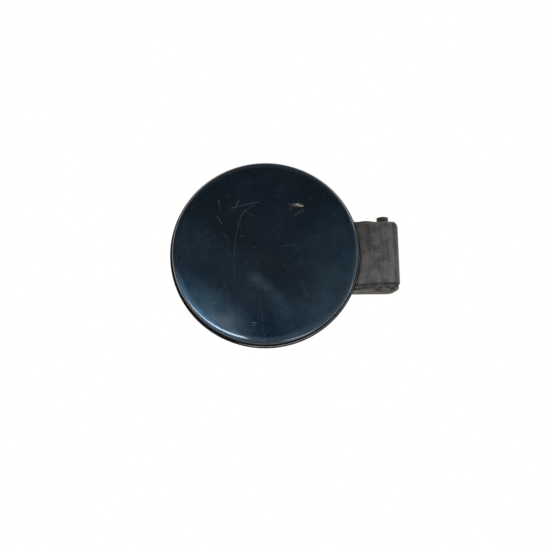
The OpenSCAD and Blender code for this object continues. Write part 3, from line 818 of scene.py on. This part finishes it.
def make_paint():
    """Flake, haze, scratches, dots, chip and rim, one over the other, under a clear coat."""
    material, tree, shader, place = new_material("paint")
    flat, bent = lid_places(tree, place)
    grain = noise(tree, flat, 0.95, 2.0, 0.6)
    lines, veil, dots = scratches(tree, flat, bent), haze(tree, flat, bent), small_dots(tree, flat)
    dark, brown, scuff, tail, primer = chip(tree, flat)
    # A painted highlight along the right rim.
    rim_highlight = painted_rim_highlight(tree, flat, place)
    colour = flake_and_painted_light(tree, flat, grain)
    for mask, tint in ((veil, HAZE_GREY), (lines, LINE_GREY), (dots, DOT_GREY), (scuff, SCUFF_GREY),
                       (dark, CHIP_DARK), (brown, CHIP_BROWN),
                       (largest(tree, [primer, tail]), PRIMER), (rim_highlight, RIM_HIGHLIGHT_GREY)):
        colour = mix_colour(tree, mask, colour, tint)
    feed(tree, shader.inputs["Base Color"], colour)
    # The painted highlight on the rim is counted with the bare spots here.
    worn = largest(tree, [brown, dark, primer, tail, dots, scuff, rim_highlight])
    whole = maths(tree, "SUBTRACT", 1.0, largest(tree, [worn, lines]))
    feed(tree, shader.inputs["Metallic"], product(tree, whole, 0.9))
    feed(tree, shader.inputs["Roughness"], ramp(tree, veil, 0.0, 0.3, 0.45, 0.65))
    feed(tree, shader.inputs["Coat Weight"], maths(tree, "SUBTRACT", 1.0, worn))
    shader.inputs["Coat Roughness"].default_value = 0.06
    shader.inputs["Coat IOR"].default_value = 1.5
    shader.inputs["Specular IOR Level"].default_value = 0.3
    dug = maths(tree, "ADD", largest(tree, [brown, tail]), product(tree, lines, 0.3))
    bump(tree, shader, maths(tree, "SUBTRACT", product(tree, grain, 0.35), dug), 0.00015)
    return material


paint = make_paint()
print("paint with", len(paint.node_tree.nodes), "nodes")

# %% [markdown]
# ## Rubber, plastic and steel
# All the other finishes are a plain colour under a film of dust, and rougher where the dust lies. Streaks
# are noise stretched along the pin, as a moulding tool leaves them. Dust on the edges and tinted bands
# come on top.


# %% Dusty materials
def band_axes(tree, place):
    """X, Y and Z of the place, and R, its distance from the lid's axis."""
    axes = split_axes(tree, place)
    away = vector_maths(tree, "SUBTRACT", place, (LID_MID[0], 0, LID_MID[2]))
    radius = vector_maths(tree, "LENGTH", vector_maths(tree, "MULTIPLY", away, (1, 0, 1)))
    return {"X": axes["X"], "Y": axes["Y"], "Z": axes["Z"], "R": radius}


def make_dusty(name, base, dust, amount, roughness, spread=55.0, streak=None, metallic=0.0,
               specular=0.5, edge_dust=0.0, zones=()):
    """Colour = base, towards dust by the mask, towards a tint in each zone. A tint is dust on some zones,
    and painted light or painted shade on others. A zone is a band along X, Y, Z or R in metres:
    (axis, start, full, stop, end, tint, strength)."""
    material, tree, shader, place = new_material(name)
    mask = use_group(tree, dust_group, Place=place, Spread=spread, Grain=700.0, Amount=amount)
    if streak is not None:
        lines = ramp(tree, noise(tree, place, 1.0, 4.0, 0.6, streak), 0.38, 0.72, 0.0, amount * 0.45)
        mask = maths(tree, "ADD", mask, lines, clamp=True)
    if edge_dust:
        edge = tree.nodes.new("ShaderNodeAttribute")
        edge.attribute_name = "edge"
        rim = use_group(tree, edge_group, Place=place, Edge=edge.outputs["Fac"], Amount=edge_dust)
        mask = maths(tree, "MAXIMUM", mask, rim)
    colour = mix_colour(tree, mask, base, dust)
    along = band_axes(tree, place) if zones else {}
    for axis, start, full, stop, end, tint, strength in zones:
        band = use_group(tree, band_group, Place=place, Along=along[axis], Start=start, Full=full,
                         Stop=stop, End=end, Strength=strength)
        colour = mix_colour(tree, band, colour, tint)
    feed(tree, shader.inputs["Base Color"], colour)
    rougher = min(1.0, roughness + 0.3)
    feed(tree, shader.inputs["Roughness"], ramp(tree, mask, 0.0, 1.0, roughness, rougher))
    shader.inputs["Metallic"].default_value = metallic
    shader.inputs["Specular IOR Level"].default_value = specular
    bump(tree, shader, use_group(tree, grain_group, Place=place, Scale=900.0), 0.00003)
    print("finish", name)
    return material


# %% [markdown]
# ## The arm, the seal and the pin
# These three show in the photograph. The arm is a dark grey moulding. Its colour is painted lighter
# beside the lid, against the lid's shadow, and near its rounded end, as a painted highlight. Painted
# shade darkens the crease along its lower edge, and the side wall under that is brown. The seal is
# black rubber with one chalky line. The pin is browned steel, and earth sits where it leaves the arm.

# %% Arm, seal and pin
TAN = (0.25, 0.225, 0.165, 1)
# Painted light on the arm, beside the lid and near its rounded end.
PAINTED_LIGHT_GREY = (0.26, 0.255, 0.25, 1)
# Painted shade for the crease along the arm's lower edge.
CREASE_SHADE = (0.010, 0.009, 0.009, 1)
LIP = (0.064, 0.055, 0.037, 1)
BLACK = (0.006, 0.006, 0.006, 1)
CHALK = (0.30, 0.295, 0.285, 1)
arm_plastic = make_dusty(
    "arm_plastic", (0.051, 0.048, 0.052, 1), (0.19, 0.18, 0.176, 1), 0.7, 0.5,
    spread=110.0, streak=(760.0, 760.0, 60.0), edge_dust=0.8, zones=[
        # painted light beside the lid, where the lid casts its shadow
        ("R", 0.0640, 0.0835, 0.0868, 0.0950, PAINTED_LIGHT_GREY, 1.0),
        # painted highlight near the rounded end
        ("X", 0.0030, 0.0048, 0.0066, 0.0086, PAINTED_LIGHT_GREY, 0.3),
        # painted shade in the crease along the lower edge
        ("Z", -0.0600, -0.0590, -0.0570, -0.0554, CREASE_SHADE, 1.0),
        ("Z", -0.0900, -0.0800, -0.0600, -0.0596, LIP, 1.4),
        ("Z", -0.0022, -0.0004, 0.0100, 0.0200, TAN, 0.6)])
seal_rubber = make_dusty(
    "seal_rubber", BLACK, (0.05, 0.047, 0.042, 1), 0.1, 0.8, specular=0.03, zones=[
        ("R", 0.0836, 0.0838, 0.0841, 0.0843, CHALK, 0.9),
        ("Y", -0.0153, -0.0151, 0.1000, 0.2000, BLACK, 2.0),
        ("X", -0.3000, -0.2500, -0.1500, -0.1150, BLACK, 2.0)])
pin_steel = make_dusty(
    "pin_steel", (0.045, 0.042, 0.042, 1), (0.16, 0.13, 0.10, 1), 0.6, 0.5, metallic=0.3,
    edge_dust=0.6, zones=[("Z", -0.004, -0.001, 0.0015, 0.0035, TAN, 0.7)])

# %% [markdown]
# ## Finishes at the back
# The rest is hidden while the lid is closed. The mouldings are darker than the arm, because no sun
# reached them, and their dust is browner. The steel is zinc-plated, bright under brown dust.

# %% Finishes at the back
DARK_DUST, RUST_DUST = (0.10, 0.085, 0.07, 1), (0.25, 0.19, 0.12, 1)
carrier_plastic = make_dusty("carrier_plastic", (0.022, 0.022, 0.022, 1), DARK_DUST, 0.5, 0.55)
holder_plastic = make_dusty("holder_plastic", (0.025, 0.025, 0.025, 1), DARK_DUST, 0.4, 0.5,
                            edge_dust=0.5)
buffer_rubber = make_dusty("buffer_rubber", (0.012, 0.012, 0.012, 1), (0.09, 0.08, 0.07, 1), 0.4, 0.7)
clip_steel = make_dusty("clip_steel", (0.35, 0.35, 0.36, 1), (0.2, 0.16, 0.12, 1), 0.5, 0.4,
                        metallic=0.9)
spring_steel = make_dusty("spring_steel", (0.40, 0.40, 0.42, 1), (0.25, 0.17, 0.10, 1), 0.5, 0.35,
                          metallic=0.9)
striker_steel = make_dusty("striker_steel", (0.50, 0.50, 0.48, 1), RUST_DUST, 0.5, 0.4,
                           metallic=0.9, edge_dust=0.4)
screw_steel = make_dusty("screw_steel", (0.45, 0.45, 0.44, 1), RUST_DUST, 0.5, 0.4, metallic=0.9)

# %% [markdown]
# ## Each piece gets its finish
# A finish goes into a mesh's material slot. The new pieces and the CAD pieces that stay in sight are
# dressed in the same way, so nothing is left in bare grey.


# %% Put the materials on
def put(material, *objects):
    """Makes the material the only one of each object."""
    for obj in objects:
        obj.data.materials.clear()
        obj.data.materials.append(material)


put(paint, painted_skin)
put(seal_rubber, edge_seal)
put(arm_plastic, swan_neck_arm)
put(pin_steel, axle_pin)
put(striker_steel, bolt_striker)
put(holder_plastic, cap_cup)
put(spring_steel, closing_spring)
put(carrier_plastic, NODES["inner_carrier"])
put(screw_steel, NODES["arm_screws"], NODES["striker_screws"], NODES["cap_screw"])
put(clip_steel, NODES["pin_clips"])
put(buffer_rubber, NODES["buffers"])
print("materials placed")

# %% [markdown]
# ## What moves with what
# The lid, its seal, the arm, the striker and the cup ride on the door. The pin stays with the car. The
# spring's wire is baked into the scene where it stands.

# %% Ride and replace
for piece, node, slot in ((painted_skin, "lid_skin", "paint"), (edge_seal, "edge_seal", "seal_rubber"),
                          (swan_neck_arm, "hinge_arm", "arm_plastic"),
                          (bolt_striker, "latch_striker", "striker_steel"),
                          (cap_cup, "cap_holder", "holder_plastic")):
    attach(piece, "door")
    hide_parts(node)
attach(axle_pin, "pin_set")
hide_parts("hinge_pin")
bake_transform(closing_spring)
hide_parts("torsion_spring")

# %% [markdown]
# ## Floor
# The photograph shows the part on plain white, with no shadow beside it. The floor is pale and matt,
# and so far below that it stays out of this view and puts no hard shadow under the part in others.

# %% Floor
FLOOR_HALF, FLOOR_Z = 6, -1.2
corners = np.array([(-1, -1), (1, -1), (1, 1), (-1, 1)], float) * FLOOR_HALF
floor = mesh_object("floor", np.column_stack([corners, np.full(4, FLOOR_Z)]), [[0, 1, 2, 3]],
                    smooth=False)
floor_material = bpy.data.materials.new("floor")
floor_material.use_nodes = True
floor_shader = floor_material.node_tree.nodes["Principled BSDF"]
floor_shader.inputs["Base Color"].default_value = (0.8, 0.8, 0.8, 1)
floor_shader.inputs["Roughness"].default_value = 0.8
put(floor_material, floor)
print("floor at", FLOOR_Z, "m")

# %% [markdown]
# ## The room
# The world is white to the camera, as the photograph's background is. To everything else it is a room
# whose front is dim, so that the glossy dark face has nothing bright to mirror there. It is lighter
# behind, at the far right and above, and has soft patches low at the left and the right, which give
# the rim its sheen. A row is a strength and the smooth steps that bound it: (way, from, to). The rows
# are added to the ambient level, and the last one takes light away straight ahead.

# %% World
AMBIENT = 0.075
ROOM = {
    "behind": (0.8, ("depth", -0.1, 0.5)),
    "far right": (0.6, ("side", 0.55, 1.0)),
    "above": (0.3, ("height", 0.45, 0.85)),
    "below that": (0.05, ("height", 0.43, 0.25)),
    "low left": (0.32, ("side", -0.11, -0.17), ("height", 0.13, 0.06)),
    "low right": (0.17, ("side", 0.05, 0.17), ("height", 0.25, 0.08)),
    "glow beside the middle": (1.4, ("side", -0.075, -0.108), ("side", -0.20, -0.14),
                               ("height", 0.075, 0.05), ("height", -0.12, -0.03)),
    "shade straight ahead": (-AMBIENT, ("height", 0.12, 0.04), ("off middle", 0.11, 0.03)),
}
world = bpy.data.worlds.new("studio")
bpy.context.scene.world = world
world.use_nodes = True
wt = world.node_tree
direction = split_axes(wt, wt.nodes.new("ShaderNodeTexCoord").outputs["Generated"])
WAYS = {"side": direction["X"], "depth": direction["Y"], "height": direction["Z"],
        "off middle": maths(wt, "ABSOLUTE", direction["X"])}
room = AMBIENT
for strength, *steps in ROOM.values():
    part = product(wt, strength, *[ramp(wt, WAYS[way], low, high) for way, low, high in steps])
    room = maths(wt, "ADD", room, part)
level = wt.nodes.new("ShaderNodeMix")
feed(wt, level.inputs[0], wt.nodes.new("ShaderNodeLightPath").outputs["Is Camera Ray"])
feed(wt, level.inputs[2], room)
level.inputs[3].default_value = 1.0
back = wt.nodes["Background"]
back.inputs["Color"].default_value = (1, 1, 1, 1)
feed(wt, back.inputs["Strength"], level.outputs[0])
print("room of", len(ROOM), "patches")

# %% [markdown]
# ## Lamps
# The bright arcs along the lower rim are two long soft lamps, mirrored in the roll. A strip lamp is
# given by its two ends, which stand at equal distance from the part, and it faces the lid. The left
# one is wide and bright, and the right one weak.

# %% Lamps
AIM = (-0.10, -0.02, -0.03)
LAMP_DISTANCE = 0.9


def toward(azimuth, elevation):
    """Place LAMP_DISTANCE from AIM: azimuth 0 is the front (-Y), positive to +X, elevation is up."""
    a, e = math.radians(azimuth), math.radians(elevation)
    way = np.array([math.sin(a) * math.cos(e), -math.cos(a) * math.cos(e), math.sin(e)])
    return Vector((np.array(AIM) + LAMP_DISTANCE * way).tolist())


def strip_lamp(name, start, end, width, power, colour):
    """A flat lamp whose long side runs from start to end. It faces AIM: its own Z points away from
    there, its X along the lamp, and its Y square to both."""
    data = bpy.data.lights.new(name, "AREA")
    data.shape = "RECTANGLE"
    data.size, data.size_y = (end - start).length, width
    data.energy, data.color = power, colour
    obj = bpy.data.objects.new(name, data)
    bpy.context.scene.collection.objects.link(obj)
    middle = (start + end) / 2
    back_axis = (middle - Vector(AIM)).normalized()
    long_axis = (end - start).normalized()
    long_axis = (long_axis - back_axis * long_axis.dot(back_axis)).normalized()
    short_axis = back_axis.cross(long_axis)
    turn = Matrix((long_axis, short_axis, back_axis)).transposed()
    obj.matrix_world = Matrix.Translation(middle) @ turn.to_4x4()
    print("lamp", name, round(data.size, 2), "m long")


strip_lamp("low_left", toward(-63, -20), toward(-11, -27.5), 0.13, 4.6, (0.94, 0.93, 1.0))
strip_lamp("low_right", toward(25, -62), toward(130, -48), 0.12, 1.6, (1.0, 0.96, 1.0))

# %% [markdown]
# ## Camera
# The view was fitted to the outline of the lid, the arm and the pin: 12 degrees below the face's normal,
# 0.71 m in front of it, with almost no turn to the side. Its place and its three directions are written
# out, so nothing about it depends on a size of the picture.

# %% Camera
CAMERA_AT = Vector((-107.334, -711.955, -197.371)) * MM
CAMERA_RIGHT = Vector((0.99989, -0.008462, -0.012146))
CAMERA_UP = Vector((0.010123, -0.207792, 0.978121))
CAMERA_AHEAD = Vector((0.010801, 0.978136, 0.207683))
camera_data = bpy.data.cameras.new("camera")
camera_data.sensor_width = 36.0
camera_data.lens = 52.518
camera_data.clip_start = 0.01
camera = bpy.data.objects.new("camera", camera_data)
camera_turn = Matrix((CAMERA_RIGHT, CAMERA_UP, -CAMERA_AHEAD)).transposed()
camera.matrix_world = Matrix.Translation(CAMERA_AT) @ camera_turn.to_4x4()
bpy.context.scene.collection.objects.link(camera)
bpy.context.scene.camera = camera
bpy.context.scene.view_settings.view_transform = "Standard"
print("camera", round(CAMERA_AT.length, 3), "m from the hinge")
